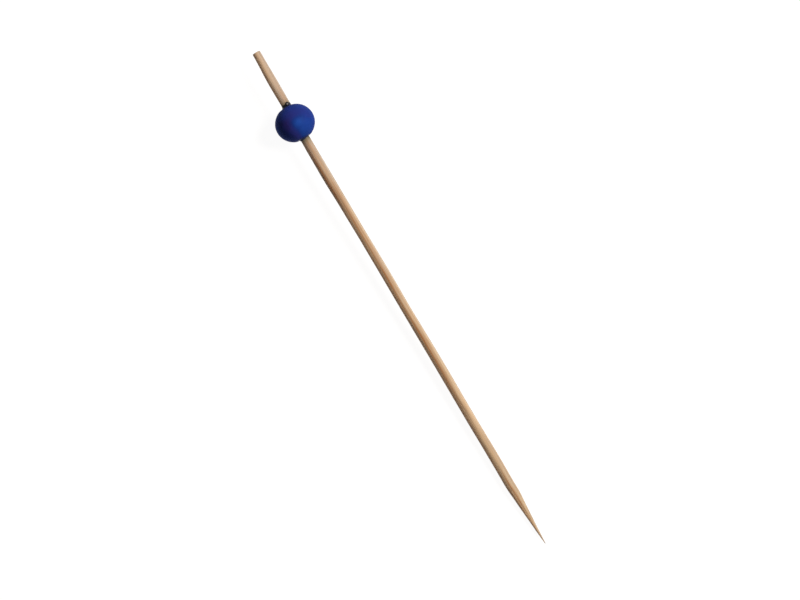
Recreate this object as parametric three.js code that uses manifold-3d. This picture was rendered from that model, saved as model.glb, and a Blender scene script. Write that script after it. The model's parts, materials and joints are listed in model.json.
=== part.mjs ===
// A ball-top party pick: a round bamboo stick, sharpened at one end and sawn square at the other,
// with a painted wooden bead glued on a little way below the sawn end.
//
// Millimetres, +Z up. The pick lies on a table as it comes to rest there, on the bead and on the
// shoulder of its point. +X runs from the point towards the sawn end. The origin is on the table,
// under the middle of the pick.

import * as THREE from 'three';
import { mergeVertices } from 'three/addons/utils/BufferGeometryUtils.js';
import Module from 'manifold-3d';

const wasm = await Module();
wasm.setup();

// The stick
const stickLength = 114.3; // four and a half inches
const stickDiameter = 2.0;
const pointLength = 12.3; // from the tip to where the cone would reach the full diameter
const shoulderLength = 3.0; // the cone rounds into the shank over this much
const tipRadius = 0.07; // the tip is blunted this little
const cutBevel = 0.06; // the saw leaves the end's edge slightly broken

// The bead
const beadDiameter = 8.2; // eight millimetres of wood and its coat of paint
const beadLength = 7.6; // along the stick, from pole to pole, as if it weren't drilled
const beadFromCutEnd = 16.1; // from the sawn end to the middle of the bead
const drillAllowance = 0.32; // the hole's radius is this much more than the stick's
const lipRounding = 0.35; // the hole's mouths are rounded over by this much

// The glue
const fitGap = 0.03; // left open on each side of the glue
const thinnestFilm = 0.06; // where the stick lies nearest to the wall of the hole
const collarRise = 0.5; // how far the squeezed-out ring climbs the stick, on the sawn end's side
const lowCollarRise = 0.25; // the same on the point's side, where less came out
const collarEdge = 0.06; // the ring's thickness at its top, where it thins out on the stick
const collarWidth = 0.9; // how far out from the stick the ring's hollow has sunk into the bead
const collarSink = 0.6; // and how far below the mouth it is there
const dropLength = 0.84; // a drop stands on the ring, measured along the stick
const dropWidth = 0.8; // around the stick
const dropHeight = 0.27; // out from the stick
const dropRise = 0.44; // its middle stands above the mouth by this much
const dropAngle = THREE.MathUtils.degToRad(21); // round the stick, from straight up towards -Y

// How finely the round faces are divided
const stickSides = 40;
const beadSides = 48;
const domeSteps = 28;
const roundingSteps = 5;
const dropSides = 16;
const ballRadius = 0.5; // a ball one millimetre across, stretched into the drop
const weldReach = 1e-5; // corners nearer than this are one

const stickRadius = stickDiameter / 2;
const boreRadius = stickRadius + drillAllowance;
const seatOffset = drillAllowance - 2 * fitGap - thinnestFilm; // the stick leans to one side of the hole
const beadAlong = stickLength - beadFromCutEnd; // the bead's middle, from the tip

const bamboo = new THREE.MeshStandardMaterial({ color: '#cda983', roughness: 0.65, metalness: 0 });
const bluePaint = new THREE.MeshStandardMaterial({ color: '#1f3c8c', roughness: 0.55, metalness: 0 });
const darkGlue = new THREE.MeshStandardMaterial({ color: '#10141c', roughness: 0.2, metalness: 0 });

// Spins an outline of [radius, along] points about +X. A facet, not an edge, faces straight down.
function turned(outline, sides) {
  const points = outline.map(([radius, along]) => new THREE.Vector2(radius, along));
  return new THREE.LatheGeometry(points, sides, Math.PI / sides).rotateZ(-Math.PI / 2);
}

// The points of a curve as [radius, along] pairs.
function pointsOf(curve, steps) {
  return curve.getPoints(steps).map((point) => [point.x, point.y]);
}

// A quarter-round or hollow from one [radius, along] point to another, pulled towards a corner.
function rounding(from, corner, to) {
  const [start, middle, end] = [from, corner, to].map(([radius, along]) => new THREE.Vector2(radius, along));
  return pointsOf(new THREE.QuadraticBezierCurve(start, middle, end), roundingSteps);
}

// A closed geometry as a solid that can be joined and cut.
function solidOf(geometry) {
  const bare = geometry.clone();
  bare.deleteAttribute('normal');
  bare.deleteAttribute('uv');
  const merged = mergeVertices(bare, weldReach);
  return new wasm.Manifold(new wasm.Mesh({
    numProp: 3,
    vertProperties: merged.attributes.position.array,
    triVerts: new Uint32Array(merged.index.array),
  }));
}

// A joined and cut solid as a geometry again.
function geometryOf(solid) {
  const mesh = solid.getMesh();
  const geometry = new THREE.BufferGeometry();
  geometry.setAttribute('position', new THREE.BufferAttribute(mesh.vertProperties, 3));
  geometry.setIndex(new THREE.BufferAttribute(mesh.triVerts, 1));
  geometry.computeVertexNormals();
  return geometry;
}

// The stick's outline, from the tip's end on the axis to the middle of the sawn end.
function stickOutline() {
  const taper = Math.atan((stickRadius - tipRadius) / (pointLength - tipRadius));
  const onCone = (along) => tipRadius + (along - tipRadius) * Math.tan(taper);
  const coneEnd = pointLength - shoulderLength / 2;
  const shankStart = pointLength + shoulderLength / 2;
  const tip = new THREE.EllipseCurve(0, tipRadius, tipRadius, tipRadius, -Math.PI / 2, 0);
  return [
    ...pointsOf(tip, roundingSteps),
    ...rounding([onCone(coneEnd), coneEnd], [stickRadius, pointLength], [stickRadius, shankStart]),
    [stickRadius, stickLength - cutBevel],
    [stickRadius - cutBevel, stickLength],
    [0, stickLength],
  ];
}

// How far the bead's dome stands from its middle at a radius, when it is made thicker by grow.
function domeAt(radius, grow = 0) {
  return (beadLength / 2 + grow) * Math.sqrt(1 - (radius / (beadDiameter / 2 + grow)) ** 2);
}

// The drilled bead's closed outline about its own middle. grow thickens it all over.
function beadOutline(grow = 0) {
  const bore = boreRadius - grow;
  const lip = bore + lipRounding;
  const mouth = domeAt(bore, grow);
  const [across, along] = [beadDiameter / 2 + grow, beadLength / 2 + grow];
  const lipTurn = Math.acos(lip / across);
  const dome = new THREE.EllipseCurve(0, 0, across, along, lipTurn, -lipTurn, true);
  const upperLip = rounding([bore, mouth - lipRounding], [bore, mouth], [lip, domeAt(lip, grow)]);
  const lowerLip = upperLip.map(([radius, height]) => [radius, -height]).reverse();
  return [...upperLip, ...pointsOf(dome, domeSteps).slice(1, -1), ...lowerLip, upperLip[0]].reverse();
}

// The glue's surface at a mouth of the bead, hollow like a meniscus, from the stick out to the bead.
function meniscus(rise) {
  const mouth = domeAt(boreRadius);
  const edge = stickRadius + collarEdge;
  return rounding([edge, mouth + rise], [edge, mouth], [stickRadius + collarWidth, mouth - collarSink]);
}

// The glue: it fills the hole round the stick, and stands out of both mouths.
function glueGeometry() {
  const upper = meniscus(collarRise).reverse();
  const lower = meniscus(lowCollarRise).map(([radius, along]) => [radius, -along]);
  const filling = solidOf(turned([[0, lower[0][1]], ...lower, ...upper, [0, upper.at(-1)[1]]], stickSides));
  const drop = new THREE.SphereGeometry(ballRadius, dropSides, dropSides)
    .rotateX(Math.PI / 2)
    .scale(dropLength, dropWidth, 2 * dropHeight)
    .translate(domeAt(boreRadius) + dropRise, 0, stickRadius)
    .rotateX(dropAngle);
  const room = stickRadius + fitGap;
  const shaft = [[0, -stickLength], [room, -stickLength], [room, stickLength], [0, stickLength]];
  const beadRoom = turned(beadOutline(fitGap), beadSides).translate(0, seatOffset, 0);
  return geometryOf(filling
    .add(solidOf(drop))
    .subtract(solidOf(beadRoom))
    .subtract(solidOf(turned(shaft, stickSides))));
}

// A named piece of one material.
function piece(name, geometry, material) {
  const mesh = new THREE.Mesh(geometry, material);
  mesh.name = name;
  return mesh;
}

// The pick along its own straight axis. The bead is centred on y = 0, and the stick lies off-centre
// in it.
const pick = new THREE.Group();
const stick = piece('bamboo_stick', turned(stickOutline(), stickSides), bamboo);
const bead = piece('wooden_bead', turned(beadOutline(), beadSides), bluePaint);
const glue = piece('glue_seam', glueGeometry(), darkGlue);
stick.position.y = -seatOffset;
bead.position.x = beadAlong;
glue.position.set(beadAlong, -seatOffset, 0);
pick.add(stick, bead, glue);

// At rest the bead lifts its end, so the pick leans down until the stick touches the table too.
const beadReach = (beadDiameter / 2) * Math.cos(Math.PI / beadSides);
const stickReach = Math.cos(Math.PI / stickSides); // a flat's distance from the axis, for a radius of one
const lean = stickOutline()
  .filter(([, along]) => along < beadAlong)
  .map(([radius, along]) => Math.atan((beadReach - radius * stickReach) / (beadAlong - along)));
pick.rotation.y = -Math.min(...lean);
const lying = new THREE.Box3().setFromObject(pick, true);
const middle = lying.getCenter(new THREE.Vector3());
pick.position.set(-middle.x, -middle.y, -lying.min.z);

const object = new THREE.Group();
object.add(pick);

export default object;
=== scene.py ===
# Ball-top bamboo pick with a blue wooden bead, lying on a pale table.
import json
import math
import bmesh
import bpy
from mathutils import Matrix, Vector


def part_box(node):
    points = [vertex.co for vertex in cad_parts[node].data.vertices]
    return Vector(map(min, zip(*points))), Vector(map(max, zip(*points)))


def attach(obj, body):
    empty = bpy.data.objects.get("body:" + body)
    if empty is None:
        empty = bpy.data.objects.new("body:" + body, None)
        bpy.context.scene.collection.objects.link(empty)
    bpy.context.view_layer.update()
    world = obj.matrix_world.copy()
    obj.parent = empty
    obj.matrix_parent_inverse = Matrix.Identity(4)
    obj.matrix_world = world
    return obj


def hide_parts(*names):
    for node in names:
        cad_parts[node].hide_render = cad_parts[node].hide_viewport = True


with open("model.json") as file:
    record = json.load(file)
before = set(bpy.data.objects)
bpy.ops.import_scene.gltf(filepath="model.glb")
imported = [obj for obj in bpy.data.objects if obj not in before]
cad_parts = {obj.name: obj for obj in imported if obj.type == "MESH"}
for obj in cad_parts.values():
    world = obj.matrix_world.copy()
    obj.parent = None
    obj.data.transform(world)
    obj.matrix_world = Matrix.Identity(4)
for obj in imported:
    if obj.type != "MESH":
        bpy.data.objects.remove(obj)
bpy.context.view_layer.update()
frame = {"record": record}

mm = 0.001
hair = 0.001 * mm  # less than any feature
barelyMore = 1.001  # so that rounding leaves no vertex out

# Where the pick lies: its sawn end and its direction come from the model's mount, the bead from its box
sawnEnd = next(m for m in frame["record"]["mounts"] if m["name"] == "cut_end")
stickAxis = Vector(sawnEnd["axis"]).normalized()
stickLength = 114.3 * mm
tipPlace = Vector(sawnEnd["pos_m"]) - stickAxis * stickLength
layTurn = math.atan2(stickAxis.x, stickAxis.z)  # lays an upright piece down along the stick
beadLow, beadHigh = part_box("wooden_bead")
beadPlace = (beadLow + beadHigh) / 2
beadUp = (beadPlace - tipPlace).dot(stickAxis)  # from the tip
beadAside = beadPlace.y - tipPlace.y  # the hole is drilled off centre


# small helpers

def linear(hexColour):  # sRGB hex to the linear colour that the shaders want
    values = [int(hexColour[i:i + 2], 16) / 255 for i in (1, 3, 5)]
    return [v / 12.92 if v <= 0.04045 else ((v + 0.055) / 1.055) ** 2.4 for v in values] + [1.0]


def addNode(tree, kind, settings=None, links=None):  # a shader node with its settings and links
    node = tree.nodes.new("ShaderNode" + kind)
    for name, value in (settings or {}).items():
        if isinstance(name, str) and hasattr(node, name):
            setattr(node, name, value)
        else:
            node.inputs[name].default_value = value
    for name, socket in (links or {}).items():
        tree.links.new(socket, node.inputs[name])
    return node


def newMaterial(name):  # an empty material, and its output node
    material = bpy.data.materials.new(name)
    material.use_nodes = True
    material.node_tree.nodes.clear()
    return material, material.node_tree, addNode(material.node_tree, "OutputMaterial")


def startEditing(obj, mode="VERT"):  # alone in edit mode, with nothing selected
    bpy.ops.object.select_all(action="DESELECT")
    bpy.context.view_layer.objects.active = obj
    obj.select_set(True)
    bpy.ops.object.mode_set(mode="EDIT")
    bpy.ops.mesh.select_mode(type=mode)
    bpy.ops.mesh.select_all(action="DESELECT")


def selectVerts(obj, wanted):  # selects the vertices that pass a test of their place, in object space
    mesh = bmesh.from_edit_mesh(obj.data)
    for vert in mesh.verts:
        vert.select_set(wanted(vert.co))
    mesh.select_flush(True)
    bmesh.update_edit_mesh(obj.data)


def stopEditing():
    bpy.ops.object.mode_set(mode="OBJECT")


def addModifier(obj, kind, **settings):  # adds a modifier and applies it
    modifier = obj.modifiers.new(kind.title(), kind)
    for name, value in settings.items():
        setattr(modifier, name, value)
    bpy.ops.object.select_all(action="DESELECT")
    bpy.context.view_layer.objects.active = obj
    obj.select_set(True)
    bpy.ops.object.modifier_apply(modifier=modifier.name)


def unevenness(obj, size, depth, seedPlace=(0, 0, 0), group=""):  # size of the lumps in x, y and z, mm
    bpy.ops.object.empty_add(location=Vector(seedPlace) * mm)
    ruler = bpy.context.object
    ruler.scale = Vector(size) * mm
    bpy.context.view_layer.update()
    lumps = bpy.data.textures.new("lumps", "CLOUDS")
    lumps.noise_scale = 1.0
    lumps.noise_depth = 1
    addModifier(obj, "DISPLACE", texture=lumps, texture_coords="OBJECT", texture_coords_object=ruler,
                strength=depth * mm, mid_level=0.5, vertex_group=group)
    bpy.data.objects.remove(ruler)
    bpy.data.textures.remove(lumps)


def layDown(obj):  # from upright, with the tip at the origin, to its place on the table
    obj.rotation_euler = (0, layTurn, 0)
    obj.location = tipPlace
    bpy.ops.object.select_all(action="DESELECT")
    bpy.context.view_layer.objects.active = obj
    obj.select_set(True)
    bpy.ops.object.transform_apply(location=True, rotation=True, scale=True)


def handOver(obj, node):  # takes a CAD node's place on the pick
    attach(obj, "root")
    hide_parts(node)


# the stick: split bamboo, pulled through a rounding die, sawn and ground

stick = {
    "sides": 32,
    "shankStep": 2.0,  # mm between rings
    "pointStep": 0.6,
    "pointEnd": 14.0,
    "tipRings": [0.3, 0.12, 0.0],
    "rimInsets": (0.06, 0.3),  # mm: rings on the sawn end, which keep its rim sharp
    # mm from the tip, radius in mm, and how far the rod wanders towards -Y
    "run": [
        (0.0, 0.04, 0.13), (0.12, 0.07, 0.13), (0.9, 0.127, 0.12), (2.1, 0.21, 0.1), (3.3, 0.317, 0.08),
        (4.1, 0.35, 0.08), (4.9, 0.409, 0.085), (5.7, 0.48, 0.093), (6.9, 0.565, 0.085),
        (8.1, 0.658, 0.077), (9.3, 0.745, 0.08), (9.9, 0.802, 0.084), (10.5, 0.838, 0.093),
        (11.1, 0.886, 0.104), (11.7, 0.933, 0.078), (12.9, 0.982, 0.033), (14.1, 0.99, 0.0),
        (16.5, 0.992, 0.033), (18.9, 1.018, 0.056), (21.3, 1.01, 0.058), (24.0, 0.983, 0.036),
        (28.5, 0.982, 0.0), (33.3, 0.992, 0.024), (38.1, 0.995, 0.055), (42.9, 1.004, 0.06),
        (47.7, 0.98, 0.034), (54.9, 0.943, -0.012), (59.7, 0.97, 0.028), (64.5, 0.973, 0.048),
        (71.8, 0.937, 0.01), (76.6, 0.968, -0.02), (80.2, 0.99, -0.027), (83.8, 1.03, -0.08),
        (86.2, 1.045, -0.092), (88.6, 1.022, -0.09), (92.2, 1.0, -0.075), (98.2, 0.955, 0.01),
        (101.6, 0.905, 0.08), (103.0, 0.945, 0.115), (104.4, 0.945, 0.1), (107.8, 0.985, 0.117),
        (109.2, 0.96, 0.137), (110.2, 0.92, 0.165), (111.2, 0.872, 0.21), (112.2, 0.85, 0.243),
        (114.3, 0.842, 0.26),
    ],
    # each kind of unevenness: its size across and along the rod, and how deep it is, mm
    "waves": ((1.1, 1.1, 8), 0.03),
    "fibres": ((0.17, 0.17, 11), 0.022),
    "grinding": ((0.5, 0.5, 1.3), 0.03),
    "smoothBelow": 40,  # degrees between faces
    # marks in the wood, for paintMarks. Above 0 a streak is darker. Below 0 a mark is paler: some are
    # pale streaks, most are painted light that lifts the shaded side or lightens the lit edge.
    "streaks": [
        (7.5, 12.5, -3, 14, 0.95), (12, 18, -8, 20, 0.6), (-3, 12, -46, 26, -1.9),
        (9, 14, -27, 12, -0.7), (31, 39, -10, 15, 0.65), (39, 45, -8, 15, 0.85), (45, 50, -8, 15, 1.0),
        (50, 56, -14, 13, 1.0), (44, 50, 25, 7, 0.4), (48, 75, 36, 7, 0.15), (56, 63, -12, 12, 0.7),
        (61, 69, -7, 14, 0.75), (69, 78, -7, 14, 0.9), (79, 95, -26, 16, 1.0), (80, 94, 38, 10, 0.3),
        (92, 112, -30, 9, 0.2), (10, 62, 150, 10, 0.6), (48, 104, -130, 12, 0.65),
        (26, 92, 102, 7, 0.5), (68, 113, 176, 9, 0.6), (5, 40, -95, 10, 0.55), (16, 45, -46, 22, -1.0),
        (45, 52, -50, 18, -0.4), (52, 79, -46, 22, -1.0), (60, 70, -32, 14, -0.4),
        (92, 116, -50, 32, -1.0), (14, 78, 64, 18, -0.5), (14, 36, 0, 200, -0.25),
        (50, 56, 13, 9, -0.6), (83, 91, 10, 12, -0.3), (107, 116, -10, 30, -0.8),
        (2, 6.5, -25, 35, -0.8), (106, 116, -62, 28, -1.2), (19, 38, -30, 14, 0.35),
        (42, 50, -30, 14, 0.35), (78.5, 85, 16, 13, 0.35), (57, 61, -6, 12, 0.35),
        (16, 84, -70, 14, -0.7),
    ],
    "greyed": [
        (12, 27, 46, 18, 0.6), (90, 96, -25, 22, 0.25), (81, 86, 34, 12, 0.3), (86, 97, 38, 13, 0.5),
        (103, 116, 44, 13, 0.5), (-3, 3, 10, 60, 0.5),
    ],
    # whiter marks: mostly a painted sheen along the lit edge, and a few bleached patches
    "bleached_and_sheen": [
        (27, 90, 59, 12, 0.47), (62, 68, 26, 18, 0.25), (55, 58, 18, 20, 0.2),
        (104, 118, -20, 45, 0.22),
    ],
    "markFade": 5,  # mm over which a mark starts and ends
}


def stickAt(up):  # radius and wander of the rod at a height, in mm
    run = stick["run"]
    for (low, r0, w0), (high, r1, w1) in zip(run, run[1:]):
        if up <= high:
            part = (up - low) / (high - low)
            return r0 + (r1 - r0) * part, w0 + (w1 - w0) * part
    return run[-1][1:]


def makeStick():
    heights = []
    up = stickLength / mm
    while up > stick["tipRings"][0]:
        heights.append(up)
        up -= stick["shankStep"] if up > stick["pointEnd"] + stick["shankStep"] else stick["pointStep"]
    heights += stick["tipRings"]
    radius, wander = stickAt(heights[0])
    bpy.ops.object.select_all(action="DESELECT")
    bpy.ops.mesh.primitive_circle_add(vertices=stick["sides"], radius=radius * mm, fill_type="NGON",
                                      location=(0, 0, 0))
    obj = bpy.context.object
    obj.name = "bamboo_rod"
    startEditing(obj, "FACE")
    bpy.ops.mesh.select_all(action="SELECT")
    bpy.ops.transform.translate(value=(0, -wander * mm, heights[0] * mm))
    last = (heights[0], radius, wander)
    for up in heights[1:]:  # drawn down ring by ring to the tip
        radius, wander = stickAt(up)
        bpy.ops.mesh.extrude_region_move(
            TRANSFORM_OT_translate={"value": (0, (last[2] - wander) * mm, (up - last[0]) * mm)})
        share = radius / last[1]
        bpy.ops.transform.resize(value=(share, share, 1), center_override=(0, -wander * mm, up * mm))
        last = (up, radius, wander)
    bpy.ops.mesh.select_all(action="SELECT")
    bpy.ops.mesh.normals_make_consistent(inside=False)
    bpy.ops.mesh.select_all(action="DESELECT")
    selectVerts(obj, lambda co: co.z > stickLength - hair)
    for inwards in stick["rimInsets"]:
        bpy.ops.mesh.inset(thickness=inwards * mm)
    stopEditing()
    addModifier(obj, "SUBSURF", levels=2, render_levels=2)
    for name in ("streaks", "greyed", "bleached_and_sheen"):
        paintMarks(obj, name, stick[name], stick["markFade"], 0, lambda up: -stickAt(up)[1])
    ground = obj.vertex_groups.new(name="ground")
    ground.add([v.index for v in obj.data.vertices if v.co.z < stick["pointEnd"] * mm], 1.0, "REPLACE")
    unevenness(obj, *stick["waves"])
    unevenness(obj, *stick["fibres"], seedPlace=(3, 1, 2))
    unevenness(obj, *stick["grinding"], seedPlace=(5, 2, 7), group="ground")
    bpy.ops.object.shade_smooth_by_angle(angle=math.radians(stick["smoothBelow"]))
    return obj


def paintMarks(obj, name, marks, fade, middle, asideAt):  # keeps marks on the mesh, for its material
    # each mark: from mm to mm above the middle, degrees round from straight up towards -Y, its width
    # in degrees, and its strength
    layer = obj.data.attributes.new(name, "FLOAT", "POINT")
    for vert, value in zip(obj.data.vertices, layer.data):
        up = vert.co.z / mm - middle
        turn = math.degrees(math.atan2(asideAt(up) - vert.co.y / mm, -vert.co.x / mm))
        for low, high, centre, width, strength in marks:
            off = (turn - centre + 180) % 360 - 180
            ends = min(1, max(0, (up - low) / fade + 0.5)) * min(1, max(0, (high - up) / fade + 0.5))
            value.value += strength * ends * math.exp(-(off / width) ** 2)


bamboo = {
    "pale": "#D6B891",
    "aged": "#D4BBA3",
    "tan": "#BE976D",
    "streak": "#B97A44",
    "bundle": "#8A5F3C",
    # pale tissue, also used on the shaded side as painted light
    "pith_and_painted_light": "#F2C493",
    "grey": "#A8957F",
    "bleached_and_sheen": "#D8CBB6",
    "darkNearBead": "#746948",
}


def alongPick(tree, place, origin):  # object coordinates measured from the origin, with Z along the stick
    return addNode(tree, "Mapping",
                   {"vector_type": "TEXTURE", "Location": origin, "Rotation": (0, layTurn, 0)},
                   {"Vector": place.outputs["Object"]})


def bambooMaterial():
    # Bamboo, split and pulled through a die: pale ground tissue with brown fibre bundles along the rod.
    # The bundles wander in and out of the cut surface, which gives streaks 10 to 30 mm long.
    material, tree, output = newMaterial("split bamboo")
    place = addNode(tree, "TexCoord")
    local = alongPick(tree, place, tipPlace)
    drift = addNode(tree, "TexNoise", {"Scale": 38.0, "Detail": 1.0}, {"Vector": local.outputs[0]})
    centred = addNode(tree, "VectorMath", {"operation": "SUBTRACT", 1: (0.5, 0.5, 0.5)},
                      {0: drift.outputs["Color"]})
    wander = addNode(tree, "VectorMath", {"operation": "MULTIPLY", 1: (1.1 * mm, 1.1 * mm, 0)},
                     {0: centred.outputs[0]})
    wandered = addNode(tree, "VectorMath", {"operation": "ADD"},
                       {0: local.outputs[0], 1: wander.outputs[0]})
    drawn = addNode(tree, "VectorMath", {"operation": "MULTIPLY", 1: (1, 1, 0.02)},
                    {0: wandered.outputs[0]})
    fibres = addNode(tree, "TexNoise", {"Scale": 4600.0, "Detail": 2.0, "Roughness": 0.55},
                     {"Vector": drawn.outputs[0]})
    streaks = addNode(tree, "TexNoise", {"Scale": 1900.0, "Detail": 2.0, "Roughness": 0.5},
                      {"Vector": drawn.outputs[0]})
    bundles = addNode(tree, "TexVoronoi", {"Scale": 2300.0, "Randomness": 0.9},
                      {"Vector": drawn.outputs[0]})
    streakMarksAndLight = addNode(tree, "Attribute", {"attribute_name": "streaks"})
    greyWood = addNode(tree, "Attribute", {"attribute_name": "greyed"})
    # ground colour: pinker and greyer near the sawn end, warmer towards the point
    along = addNode(tree, "SeparateXYZ", links={0: local.outputs[0]})
    aged = addNode(tree, "MapRange",
                   {"interpolation_type": "SMOOTHSTEP", "From Min": 70 * mm, "From Max": 104 * mm},
                   {"Value": along.outputs["Z"]})
    ground = addNode(tree, "Mix",
                     {"data_type": "RGBA", 6: linear(bamboo["pale"]), 7: linear(bamboo["aged"])},
                     {0: aged.outputs[0]})
    fibreTone = addNode(tree, "MapRange", {"From Min": 0.36, "From Max": 0.64},
                        {"Value": fibres.outputs["Fac"]})
    fibreShare = addNode(tree, "Math", {"operation": "MULTIPLY", 1: 0.8}, {0: fibreTone.outputs[0]})
    tan = addNode(tree, "Mix", {"data_type": "RGBA", 7: linear(bamboo["tan"])},
                  {0: fibreShare.outputs[0], 6: ground.outputs[2]})
    streakTone = addNode(tree, "MapRange", {"From Min": 0.48, "From Max": 0.72, "To Max": 0.5},
                         {"Value": streaks.outputs["Fac"]})
    markTone = addNode(tree, "MapRange",
                       {"From Min": 0.25, "From Max": 0.6, "To Min": 0.55, "To Max": 1.0},
                       {"Value": fibres.outputs["Fac"]})
    placed = addNode(tree, "Math", {"operation": "MULTIPLY"},
                     {0: streakMarksAndLight.outputs["Fac"], 1: markTone.outputs[0]})
    streakShare = addNode(tree, "Math", {"operation": "ADD", "use_clamp": True},
                          {0: streakTone.outputs[0], 1: placed.outputs[0]})
    # paler marks: a few pale streaks, and painted light on the shaded side and along the lit edge
    palerAndPaintedLight = addNode(tree, "Math", {"operation": "MULTIPLY", "use_clamp": True, 1: -1.0},
                    {0: placed.outputs[0]})
    pith_and_painted_light = addNode(tree, "Mix", {"data_type": "RGBA", 7: linear(bamboo["pith_and_painted_light"])},
                   {0: palerAndPaintedLight.outputs[0], 6: tan.outputs[2]})
    warm = addNode(tree, "Mix", {"data_type": "RGBA", 7: linear(bamboo["streak"])},
                   {0: streakShare.outputs[0], 6: pith_and_painted_light.outputs[2]})
    bundleTone = addNode(tree, "MapRange",
                         {"interpolation_type": "SMOOTHSTEP", "From Min": 0.12, "From Max": 0.34,
                          "To Min": 0.3, "To Max": 0.0}, {"Value": bundles.outputs["Distance"]})
    colour = addNode(tree, "Mix", {"data_type": "RGBA", 7: linear(bamboo["bundle"])},
                     {0: bundleTone.outputs[0], 6: warm.outputs[2]})
    greyer = addNode(tree, "Mix", {"data_type": "RGBA", 7: linear(bamboo["grey"])},
                     {0: greyWood.outputs["Fac"], 6: colour.outputs[2]})
    # painted sheen: the wood is whiter along the lit edge, and bleached in a few patches
    paleWoodAndSheen = addNode(tree, "Attribute", {"attribute_name": "bleached_and_sheen"})
    bleached_and_sheen = addNode(tree, "Mix", {"data_type": "RGBA", 7: linear(bamboo["bleached_and_sheen"])},
                       {0: paleWoodAndSheen.outputs["Fac"], 6: greyer.outputs[2]})
    # the wood is darker and greener next to the bead, most of it close by
    fromBead = addNode(tree, "Math", {"operation": "SUBTRACT", 1: beadUp}, {0: along.outputs["Z"]})
    reach = addNode(tree, "Math", {"operation": "ABSOLUTE"}, {0: fromBead.outputs[0]})
    nearBead = addNode(tree, "MapRange",
                       {"From Min": 3.4 * mm, "From Max": 6.4 * mm, "To Min": 1.2, "To Max": 0.0},
                       {"Value": reach.outputs[0]})
    darkNearBead = addNode(tree, "Math", {"operation": "POWER", "use_clamp": True, 1: 3.0},
                     {0: nearBead.outputs[0]})
    darkenedNearBead = addNode(tree, "Mix", {"data_type": "RGBA", 7: linear(bamboo["darkNearBead"])},
                      {0: darkNearBead.outputs[0], 6: bleached_and_sheen.outputs[2]})
    rough = addNode(tree, "MapRange", {"To Min": 0.5, "To Max": 0.7}, {"Value": fibres.outputs["Fac"]})
    bump = addNode(tree, "Bump", {"Strength": 0.6, "Distance": 0.02 * mm},
                   {"Height": fibres.outputs["Fac"]})
    shader = addNode(tree, "BsdfPrincipled",
                     {"IOR": 1.5, "Specular IOR Level": 0.3, "Sheen Weight": 0.5, "Sheen Roughness": 0.5},
                     {"Base Color": darkenedNearBead.outputs[2], "Roughness": rough.outputs[0],
                      "Normal": bump.outputs[0]})
    tree.links.new(shader.outputs[0], output.inputs["Surface"])
    return material


rod = makeStick()
rod.data.materials.append(bambooMaterial())
layDown(rod)
handOver(rod, "bamboo_stick")
print("stick done:", len(rod.data.polygons), "faces")


# the bead: turned and drilled wood under blue paint

bead = {
    "sides": 48,
    "rings": 32,
    "radius": 4.1,  # mm, across the stick
    "halfLength": 3.8,  # along it
    "bore": 1.32,
    "lipWidth": 0.36,
    "lipSteps": [(0.75, 0.93), (0.45, 0.76), (0.18, 0.45), (0.03, 0.12), (0.0, -0.35)],  # shares of it
    "lipDepth": 0.8,  # the rounding goes this share of its width down
    "boreCuts": 6,
    "lumps": ((2.2, 2.2, 2.2), 0.05),  # the size and the depth of its unevenness, mm
    "paint": "#1D3988",
    "violet": "#393280",  # where the coat is thin
    # a lighter blue, painted where the light falls most: painted light
    "painted_light_blue": "#224DA5",
    # marks in the coat, for paintMarks: above 0 the coat is thin and more violet; below 0 a lighter blue
    # is painted where the light falls most, as painted light
    "coat_and_light": [
        (0.6, 2.4, 0, 36, 0.5), (-0.4, 1.6, 42, 16, 0.2), (-1.2, 0.9, -23, 15, 0.65),
        (-3.4, -1.4, -16, 16, 0.42), (-1.0, -0.1, 8, 13, -0.7), (-3.6, 0.3, 11, 18, -0.5),
        (-3.6, -0.9, 38, 16, -0.3), (2.5, 4.4, -10, 35, 0.15),
    ],
    "painted_shading": [(-3.0, 1.2, -36, 18, 0.25), (1.9, 4.6, -12, 32, -0.28)],  # painted shade on the shaded side and painted light near the upper mouth: the blue is darker or lighter there
    "markFade": 1,
}


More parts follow.
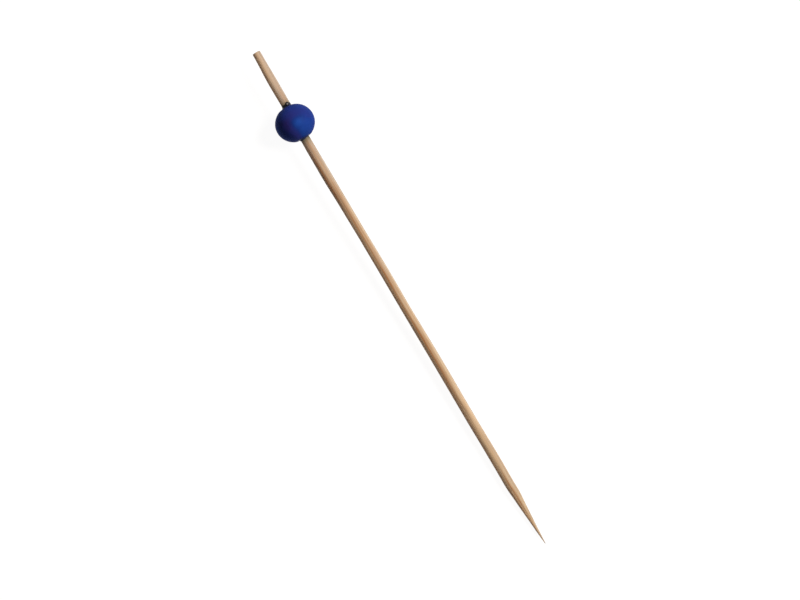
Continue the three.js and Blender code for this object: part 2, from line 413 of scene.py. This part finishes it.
def makeBead():
    bpy.ops.object.select_all(action="DESELECT")
    centre = Vector((0, beadAside, beadUp))
    bpy.ops.mesh.primitive_uv_sphere_add(segments=bead["sides"], ring_count=bead["rings"],
                                         radius=bead["radius"] * mm, location=centre,
                                         scale=(1, 1, bead["halfLength"] / bead["radius"]))
    obj = bpy.context.object
    obj.name = "painted_bead"
    bpy.ops.object.transform_apply(location=True, scale=True)
    lip = (bead["bore"] + bead["lipWidth"]) * mm

    def fromAxis(co):
        return math.hypot(co.x - centre.x, co.y - centre.y)

    startEditing(obj)
    selectVerts(obj, lambda co: fromAxis(co) < lip)
    bpy.ops.mesh.delete(type="VERT")  # drilled through: both poles go
    rimRadius = min(fromAxis(v.co) for v in bmesh.from_edit_mesh(obj.data).verts)
    rimHeight = bead["halfLength"] * mm * math.sqrt(1 - (rimRadius / (bead["radius"] * mm)) ** 2)
    for side in (1, -1):  # each mouth is rounded over into the hole
        edge = rimRadius * barelyMore
        selectVerts(obj, lambda co: fromAxis(co) < edge and (co.z - centre.z) * side > 0)
        bpy.ops.mesh.select_mode(type="EDGE")
        radius, height = rimRadius, rimHeight
        for outward, upward in bead["lipSteps"]:
            nextRadius = (bead["bore"] + bead["lipWidth"] * outward) * mm
            dome = bead["halfLength"] * mm * math.sqrt(1 - (nextRadius / (bead["radius"] * mm)) ** 2)
            nextHeight = dome - bead["lipWidth"] * mm * (1 - upward) * bead["lipDepth"]
            bpy.ops.mesh.extrude_region_move(
                TRANSFORM_OT_translate={"value": (0, 0, (nextHeight - height) * side)})
            share = nextRadius / radius
            bpy.ops.transform.resize(value=(share, share, 1),
                                     center_override=centre + Vector((0, 0, nextHeight * side)))
            radius, height = nextRadius, nextHeight
        bpy.ops.mesh.select_all(action="DESELECT")
    bpy.ops.mesh.select_mode(type="VERT")
    selectVerts(obj, lambda co: fromAxis(co) < bead["bore"] * mm * barelyMore)
    bpy.ops.mesh.select_mode(type="EDGE")
    bpy.ops.mesh.bridge_edge_loops(number_cuts=bead["boreCuts"])
    bpy.ops.mesh.select_all(action="SELECT")
    bpy.ops.mesh.normals_make_consistent(inside=False)
    stopEditing()
    addModifier(obj, "SUBSURF", levels=2, render_levels=2)
    for name in ("coat_and_light", "painted_shading"):
        paintMarks(obj, name, bead[name], bead["markFade"], beadUp / mm, lambda up: beadAside / mm)
    unevenness(obj, *bead["lumps"], seedPlace=(1, 4, 2))
    bpy.ops.object.shade_smooth()
    return obj


def paintMaterial():
    # Satin enamel sprayed on turned wood: a blue with a soft gloss, more violet where the coat is thin,
    # and a trace of the grain under it. A lighter blue where the light falls most, and a darker blue on
    # the shaded side, are painted light and painted shade.
    material, tree, output = newMaterial("satin enamel on turned wood")
    place = addNode(tree, "TexCoord")
    local = alongPick(tree, place, beadPlace)
    drawn = addNode(tree, "VectorMath", {"operation": "MULTIPLY", 1: (1, 1, 0.12)}, {0: local.outputs[0]})
    grain = addNode(tree, "TexNoise", {"Scale": 2600.0, "Detail": 2.0}, {"Vector": drawn.outputs[0]})
    peel = addNode(tree, "TexNoise", {"Scale": 4200.0, "Detail": 1.0}, {"Vector": local.outputs[0]})
    mottle = addNode(tree, "TexNoise", {"Scale": 700.0, "Detail": 2.0}, {"Vector": local.outputs[0]})
    patches = addNode(tree, "TexNoise", {"Scale": 230.0, "Detail": 1.0}, {"Vector": local.outputs[0]})
    patchy = addNode(tree, "MapRange", {"From Min": 0.4, "From Max": 0.66, "To Max": 0.25},
                     {"Value": patches.outputs["Fac"]})
    coat_and_light = addNode(tree, "Attribute", {"attribute_name": "coat_and_light"})
    thin = addNode(tree, "Math", {"operation": "ADD", "use_clamp": True},
                   {0: patchy.outputs[0], 1: coat_and_light.outputs["Fac"]})
    # painted light: a lighter blue where the light falls most
    painted_light_blue = addNode(tree, "Math", {"operation": "MULTIPLY", "use_clamp": True, 1: -1.0},
                    {0: coat_and_light.outputs["Fac"]})
    violet = addNode(tree, "Mix",
                     {"data_type": "RGBA", 6: linear(bead["paint"]), 7: linear(bead["violet"])},
                     {0: thin.outputs[0]})
    blue = addNode(tree, "Mix", {"data_type": "RGBA", 7: linear(bead["painted_light_blue"])},
                   {0: painted_light_blue.outputs[0], 6: violet.outputs[2]})
    tone = addNode(tree, "MapRange", {"From Min": 0.3, "From Max": 0.7, "To Min": 0.9, "To Max": 1.08},
                   {"Value": mottle.outputs["Fac"]})
    # painted shade and light: the blue is darker on the shaded side and lighter near the upper mouth
    painted_shading = addNode(tree, "Attribute", {"attribute_name": "painted_shading"})
    depth = addNode(tree, "Math", {"operation": "SUBTRACT"}, {0: tone.outputs[0], 1: painted_shading.outputs["Fac"]})
    colour = addNode(tree, "HueSaturation", links={"Color": blue.outputs[2], "Value": depth.outputs[0]})
    relief = addNode(tree, "Bump", {"Strength": 0.5, "Distance": 0.012 * mm},
                     {"Height": grain.outputs["Fac"]})
    skin = addNode(tree, "Bump", {"Strength": 0.4, "Distance": 0.006 * mm},
                   {"Height": peel.outputs["Fac"], "Normal": relief.outputs[0]})
    rough = addNode(tree, "MapRange", {"To Min": 0.48, "To Max": 0.6}, {"Value": mottle.outputs["Fac"]})
    shader = addNode(tree, "BsdfPrincipled", {"IOR": 1.48, "Specular IOR Level": 0.03},
                     {"Base Color": colour.outputs[0], "Roughness": rough.outputs[0],
                      "Normal": skin.outputs[0]})
    tree.links.new(shader.outputs[0], output.inputs["Surface"])
    return material


ball = makeBead()
ball.data.materials.append(paintMaterial())
layDown(ball)
handOver(ball, "wooden_bead")
print("bead done:", len(ball.data.polygons), "faces")


# the glue: a film in the hole, a ring at each mouth, and a drop at the upper one

glue = {
    "sides": 48,
    # radius and height above the bead's middle, in mm, and how far off the stick's axis, as a share of
    # the way to the hole's: over the upper ring, into the hole and out over the lower ring
    "section": [
        (0.8, 4.05, 0), (0.94, 4.2, -0.4), (0.96, 4.06, -0.4), (0.965, 3.86, -0.4), (1.01, 3.68, -0.3),
        (1.18, 3.54, 0.1), (1.46, 3.43, 0.6), (1.38, 3.1, 1), (1.34, 2.6, 1), (1.34, -2.6, 1),
        (1.38, -3.1, 1), (1.44, -3.4, 0.8), (1.22, -3.5, 0.3), (1.06, -3.6, 0), (1.0, -3.72, 0.1),
        (0.99, -3.86, 0.2), (0.8, -3.78, 0),
    ],
    "ringTilts": {1: -2.5, -1: 8},  # degrees about X, of the upper ring and of the lower one
    "ringFoot": 3.55,  # mm from the bead's middle: what lies further out is tilted
    "ringMiddle": 3.9,
    "dropTurn": 26,  # degrees round the stick, from straight up towards -Y
    "dropSize": (0.27, 0.4, 0.43),  # out from the stick, round it and along it: half sizes in mm
    "dropOut": 1.02,  # its middle, from the stick's axis
    "dropUp": 4.04,
    "highlightTurn": 20,  # the middle of its painted highlight
    "highlightOut": 1.29,
    "highlightUp": 3.96,
    "dark": "#0A0E16",
    "thinner": "#171B22",
    "painted": "#2B3050",  # where paint has run on to it, next to the bead and at the whole lower mouth
    "clear": "#827D78",  # a pale grey painted in the middle of the drop, as its highlight
    "grain": 0.06,  # voxel size, mm
}


def roundStick(fromAxis, degrees, up):  # a spot by the upright stick, in mm and above the bead's middle
    turn = math.radians(degrees)
    spot = Vector((-fromAxis * math.cos(turn), -fromAxis * math.sin(turn), up)) * mm
    return spot + Vector((0, 0, beadUp))


def makeGlue():
    bpy.ops.object.select_all(action="DESELECT")
    radius, height, aside = glue["section"][0]
    bpy.ops.mesh.primitive_circle_add(vertices=glue["sides"], radius=radius * mm, fill_type="NOTHING",
                                      location=(0, 0, 0))
    obj = bpy.context.object
    obj.name = "glue_seam_set"
    startEditing(obj, "EDGE")
    bpy.ops.mesh.select_all(action="SELECT")
    bpy.ops.transform.translate(value=(0, 0, beadUp + height * mm))
    for nextRadius, nextHeight, nextAside in glue["section"][1:]:
        step = (0, (nextAside - aside) * beadAside, (nextHeight - height) * mm)
        bpy.ops.mesh.extrude_region_move(TRANSFORM_OT_translate={"value": step})
        share = nextRadius / radius
        bpy.ops.transform.resize(value=(share, share, 1),
                                 center_override=(0, nextAside * beadAside, beadUp + nextHeight * mm))
        radius, height, aside = nextRadius, nextHeight, nextAside
    bpy.ops.mesh.select_all(action="DESELECT")
    bpy.ops.mesh.select_mode(type="VERT")
    ends = [beadUp + h * mm for h in (glue["section"][0][1], glue["section"][-1][1])]
    core = glue["section"][0][0] * mm + hair
    selectVerts(obj, lambda co: math.hypot(co.x, co.y) < core
                and min(abs(co.z - end) for end in ends) < hair)
    bpy.ops.mesh.select_mode(type="EDGE")
    bpy.ops.mesh.bridge_edge_loops()
    bpy.ops.mesh.select_all(action="SELECT")
    bpy.ops.mesh.normals_make_consistent(inside=False)
    bpy.ops.mesh.select_all(action="DESELECT")
    bpy.ops.mesh.select_mode(type="VERT")
    for side, tilt in glue["ringTilts"].items():
        selectVerts(obj, lambda co: (co.z - beadUp) * side > glue["ringFoot"] * mm)
        bpy.ops.transform.rotate(value=math.radians(tilt), orient_axis="X",
                                 center_override=(0, 0, beadUp + glue["ringMiddle"] * mm * side))
    # the drop
    turn = math.radians(glue["dropTurn"])
    spot = roundStick(glue["dropOut"], glue["dropTurn"], glue["dropUp"])
    bpy.ops.mesh.select_all(action="DESELECT")
    bpy.ops.mesh.primitive_uv_sphere_add(segments=24, ring_count=16, radius=mm, location=spot,
                                         rotation=(0, 0, turn), scale=glue["dropSize"])
    stopEditing()
    addModifier(obj, "REMESH", mode="VOXEL", voxel_size=glue["grain"] * mm, use_smooth_shade=True)
    addModifier(obj, "SMOOTH", factor=0.5, iterations=6)
    return obj


def glueMaterial():
    # Set glue, dark with the paint it has loosened: hard, smooth and shiny. The drop has a pale grey
    # painted highlight in its middle.
    material, tree, output = newMaterial("set dark glue")
    place = addNode(tree, "TexCoord")
    ripple = addNode(tree, "TexNoise", {"Scale": 2500.0, "Detail": 1.0},
                     {"Vector": place.outputs["Object"]})
    bump = addNode(tree, "Bump", {"Strength": 0.5, "Distance": 0.01 * mm},
                   {"Height": ripple.outputs["Fac"]})
    tone = addNode(tree, "Mix",
                   {"data_type": "RGBA", 6: linear(glue["dark"]), 7: linear(glue["thinner"])},
                   {0: ripple.outputs["Fac"]})
    local = alongPick(tree, place, beadPlace)
    along = addNode(tree, "SeparateXYZ", links={0: local.outputs[0]})
    foot = addNode(tree, "MapRange",
                   {"interpolation_type": "SMOOTHSTEP", "From Min": 3.6 * mm, "From Max": 3.76 * mm,
                    "To Min": 1.0, "To Max": 0.0}, {"Value": along.outputs["Z"]})
    painted = addNode(tree, "Mix", {"data_type": "RGBA", 7: linear(glue["painted"])},
                      {0: foot.outputs[0], 6: tone.outputs[2]})
    # painted highlight: the drop is pale grey round this spot
    upright = roundStick(glue["highlightOut"], glue["highlightTurn"], glue["highlightUp"])
    highlightSpot = tipPlace + Matrix.Rotation(layTurn, 3, "Y") @ upright
    away = addNode(tree, "VectorMath", {"operation": "DISTANCE", 1: highlightSpot},
                   {0: place.outputs["Object"]})
    # painted highlight: the share of pale grey, highest at the spot
    clear = addNode(tree, "MapRange",
                    {"interpolation_type": "SMOOTHSTEP", "From Min": 0.1 * mm, "From Max": 0.27 * mm,
                     "To Min": 1.0, "To Max": 0.0}, {"Value": away.outputs["Value"]})
    colour = addNode(tree, "Mix", {"data_type": "RGBA", 7: linear(glue["clear"])},
                     {0: clear.outputs[0], 6: painted.outputs[2]})
    shader = addNode(tree, "BsdfPrincipled", {"Roughness": 0.2, "IOR": 1.5, "Specular IOR Level": 0.08},
                     {"Base Color": colour.outputs[2], "Normal": bump.outputs[0]})
    tree.links.new(shader.outputs[0], output.inputs["Surface"])
    return material


seam = makeGlue()
seam.data.materials.append(glueMaterial())
layDown(seam)
handOver(seam, "glue_seam")
print("glue done:", len(seam.data.polygons), "faces")


# table, light and camera

studio = {
    "tableSize": 6.0,
    "tableColour": "#757371",
    "tableGap": 0.01,  # mm below the pick
    "tableGlow": 0.95,  # as the camera sees it near the pick; further out it is plain white
    "glowFade": (0.12, 0.5),  # m from the middle
    "tableBounce": 0.36,
    "keyAngle": 47,  # degrees off the camera's axis
    "keyTurn": 29,  # degrees up from the picture's right
    "keyDistance": 0.6,
    "keySize": 0.35,
    "keyPower": 3.75,
    "fill": (0.055, 0.035, 0.028),  # even light from all round, a little warm
    "lens": 100,
    "cameraDistance": 0.4458,
    "aimFromEnd": 57.38,  # mm along the stick from its sawn end to the middle of the picture
    "aimAside": 0.124,  # mm towards +Y
    "cameraRoll": -120.58,
}


def seenDirectly(tree):  # 1 for rays from the camera, and for those that gloss and glass send on
    paths = addNode(tree, "LightPath")
    shiny = addNode(tree, "Math", {"operation": "MAXIMUM"},
                    {0: paths.outputs["Is Camera Ray"], 1: paths.outputs["Is Glossy Ray"]})
    return addNode(tree, "Math", {"operation": "MAXIMUM"},
                   {0: shiny.outputs[0], 1: paths.outputs["Is Transmission Ray"]})


def makeTable():
    bpy.ops.object.select_all(action="DESELECT")
    bpy.ops.mesh.primitive_plane_add(size=studio["tableSize"], location=(0, 0, -studio["tableGap"] * mm))
    table = bpy.context.object
    table.name = "table"
    material, tree, output = newMaterial("pale table top")
    place = addNode(tree, "TexCoord")
    distance = addNode(tree, "VectorMath", {"operation": "LENGTH"}, {0: place.outputs["Object"]})
    near, far = studio["glowFade"]
    shown = addNode(tree, "MapRange",
                    {"interpolation_type": "SMOOTHSTEP", "From Min": near, "From Max": far,
                     "To Min": studio["tableGlow"]}, {"Value": distance.outputs["Value"]})
    seen = seenDirectly(tree)
    glow = addNode(tree, "MapRange", {"To Min": studio["tableBounce"]},
                   {"Value": seen.outputs[0], "To Max": shown.outputs[0]})
    shader = addNode(tree, "BsdfPrincipled",
                     {"Base Color": linear(studio["tableColour"]), "Roughness": 0.9,
                      "Specular IOR Level": 0.0, "Emission Color": (1, 1, 1, 1)},
                     {"Emission Strength": glow.outputs[0]})
    tree.links.new(shader.outputs[0], output.inputs["Surface"])
    table.data.materials.append(material)


def makeWorld():
    world = bpy.data.worlds.new("white room")
    bpy.context.scene.world = world
    world.use_nodes = True
    tree = world.node_tree
    tree.nodes.clear()
    seen = seenDirectly(tree)
    light = addNode(tree, "Mix", {"data_type": "RGBA", 6: (*studio["fill"], 1), 7: (1, 1, 1, 1)},
                    {0: seen.outputs[0]})
    sky = addNode(tree, "Background", links={"Color": light.outputs[2]})
    output = addNode(tree, "OutputWorld")
    tree.links.new(sky.outputs[0], output.inputs["Surface"])


def makeCamera():
    up = Vector((-stickAxis.z, 0, stickAxis.x))  # square to the stick
    cutEnd = tipPlace + stickAxis * stickLength
    aim = cutEnd - stickAxis * studio["aimFromEnd"] * mm + Vector((0, studio["aimAside"] * mm, 0))
    bpy.ops.object.camera_add(location=aim + up * studio["cameraDistance"])
    camera = bpy.context.object
    roll = math.radians(studio["cameraRoll"])
    right = Vector((math.cos(roll) * up.z, math.sin(roll), -math.cos(roll) * up.x))
    camera.matrix_world = Matrix((right, up.cross(right), up)).transposed().to_4x4()
    camera.location = aim + up * studio["cameraDistance"]
    camera.data.lens = studio["lens"]
    camera.data.clip_start = 0.01
    camera.data.clip_end = 20
    bpy.context.scene.camera = camera
    return aim, right, up.cross(right), up


def makeKey(aim, right, top, back):
    angle, turn = math.radians(studio["keyAngle"]), math.radians(studio["keyTurn"])
    towards = (right * math.cos(turn) + top * math.sin(turn)) * math.sin(angle) + back * math.cos(angle)
    bpy.ops.object.light_add(type="AREA", location=aim + towards * studio["keyDistance"])
    key = bpy.context.object
    key.name = "soft_key"
    key.rotation_euler = towards.to_track_quat("Z", "Y").to_euler()
    key.data.shape = "DISK"
    key.data.size = studio["keySize"]
    key.data.energy = studio["keyPower"]


makeTable()
makeWorld()
view = makeCamera()
makeKey(*view)
bpy.context.scene.view_settings.view_transform = "Standard"
print("stage set")
